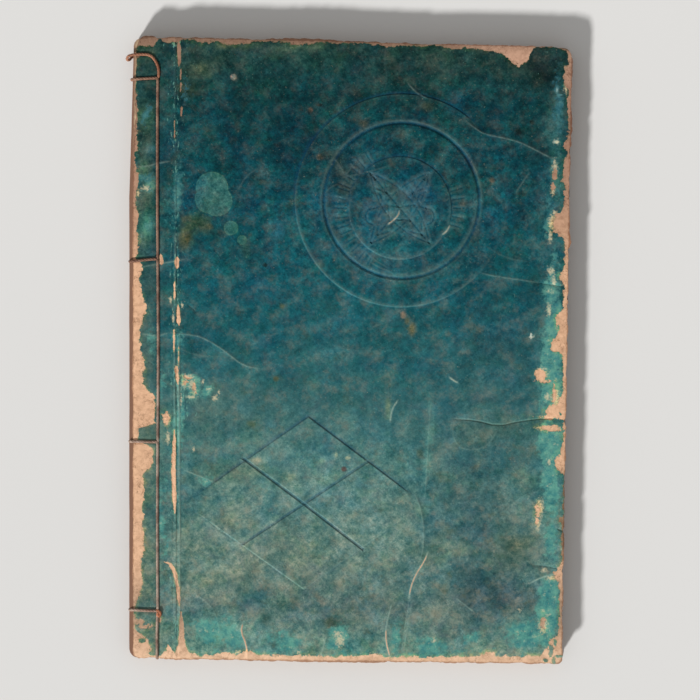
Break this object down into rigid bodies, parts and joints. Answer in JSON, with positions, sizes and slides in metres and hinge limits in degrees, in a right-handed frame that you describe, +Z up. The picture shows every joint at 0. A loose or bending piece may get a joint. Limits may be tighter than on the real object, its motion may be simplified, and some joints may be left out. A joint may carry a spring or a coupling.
{
  "type": "stab-bound illustrated book",
  "caption": "Closed stab-bound book of folded leaves with worn teal paper covers, pressed with a roundel and a quartered lozenge, and sewn with a tan thread.",
  "frame": {"origin": "middle of the closed book, on the underside of the back cover", "axes": "+X from the sewn spine edge to the fore-edge, +Y from tail to head, +Z up through the front cover"},
  "size_m": [0.163, 0.2288, 0.0085],
  "materials": {
    "cover_paper": "matte",
    "leaf_paper": "matte",
    "tie_paper": "matte",
    "silk_thread": "matte"
  },
  "bodies": {
    "sewn_block": {"text_block": "leaf_paper", "paper_tie_upper": "tie_paper", "paper_tie_lower": "tie_paper", "front_cover_margin": "cover_paper", "back_cover_margin": "cover_paper", "binding_thread": "silk_thread"},
    "front_cover_leaf": {"front_cover": "cover_paper"},
    "back_cover_leaf": {"back_cover": "cover_paper"}
  },
  "joints": [
    {"name": "front_cover_hinge", "type": "hinge", "parent": "sewn_block", "child": "front_cover_leaf", "pos_m": [-0.0629, 0, 0.008], "axis": [0, -1, 0], "range_deg": [0, 165]},
    {"name": "back_cover_hinge", "type": "hinge", "parent": "sewn_block", "child": "back_cover_leaf", "pos_m": [-0.0629, 0, 0], "axis": [0, 1, 0], "range_deg": [0, 165]}
  ]
}
